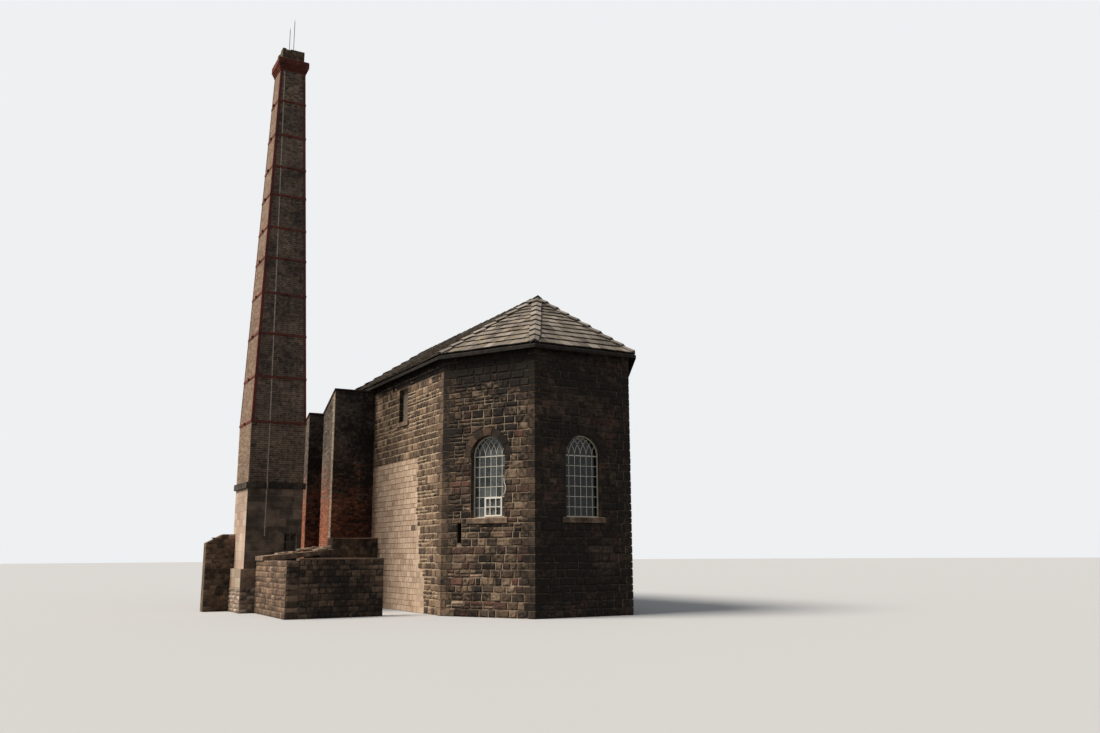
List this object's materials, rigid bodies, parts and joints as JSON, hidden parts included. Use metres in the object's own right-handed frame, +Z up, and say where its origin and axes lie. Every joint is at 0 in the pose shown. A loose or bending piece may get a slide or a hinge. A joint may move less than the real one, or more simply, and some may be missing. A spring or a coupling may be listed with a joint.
{
  "type": "beam engine house",
  "caption": "Beam engine house of squared stone with half-hexagon ends, hipped slate roof, arched windows, brick piers and a tall square banded chimney.",
  "frame": {"origin": "on the ground under the middle of the whole outline in plan", "axes": "+Z up, +Y along the ridge from the windowed front end to the rear end, +X to the right seen from the front, away from the chimney"},
  "size_m": [15.235, 20.3682, 25.734],
  "materials": {
    "coursed_stone": "matte",
    "dressed_stone": "matte",
    "ashlar_stone": "matte",
    "rubble_stone": "matte",
    "yard_stone": "matte",
    "floor_stone": "matte",
    "stone_slate": "matte",
    "hip_stone": "matte",
    "red_brick": "matte",
    "dark_brick": "matte",
    "cap_brick": "matte",
    "window_paint": "satin",
    "board_paint": "matte",
    "window_glass": "gloss",
    "rusty_iron": "matte",
    "rod_metal": "matte"
  },
  "bodies": {
    "root": {"front_wall_left": "coursed_stone", "front_wall_middle": "coursed_stone", "front_wall_right": "coursed_stone", "side_wall_left": "coursed_stone", "side_wall_right": "coursed_stone", "rear_wall_left": "coursed_stone", "rear_wall_middle": "coursed_stone", "rear_wall_right": "coursed_stone", "window_arches": "dressed_stone", "window_sills": "dressed_stone", "window_frames": "window_paint", "window_glass": "window_glass", "opening_light": "window_paint", "upper_sills": "dressed_stone", "upper_boards": "board_paint", "floor": "floor_stone", "roof_left": "stone_slate", "roof_right": "stone_slate", "roof_front_end": "stone_slate", "roof_rear_end": "stone_slate", "hip_tiles_front": "hip_stone", "hip_tiles_rear": "hip_stone", "ridge_tiles": "hip_stone", "brick_pier_near": "red_brick", "brick_pier_far": "red_brick", "pier_copings": "dressed_stone", "pier_ledge": "dressed_stone", "chimney_footing": "rubble_stone", "chimney_base": "ashlar_stone", "string_course": "dressed_stone", "chimney_shaft": "dark_brick", "corner_angles": "rusty_iron", "chimney_bands": "rusty_iron", "chimney_cap": "cap_brick", "chimney_parapet": "dark_brick", "lightning_rods": "rod_metal", "lightning_tape": "rod_metal", "soot_grate": "rusty_iron", "yard_side_wall": "yard_stone", "yard_front_wall": "yard_stone", "flue_wall": "yard_stone", "flue_slab": "dressed_stone", "stub_wall": "yard_stone"}
  },
  "joints": []
}
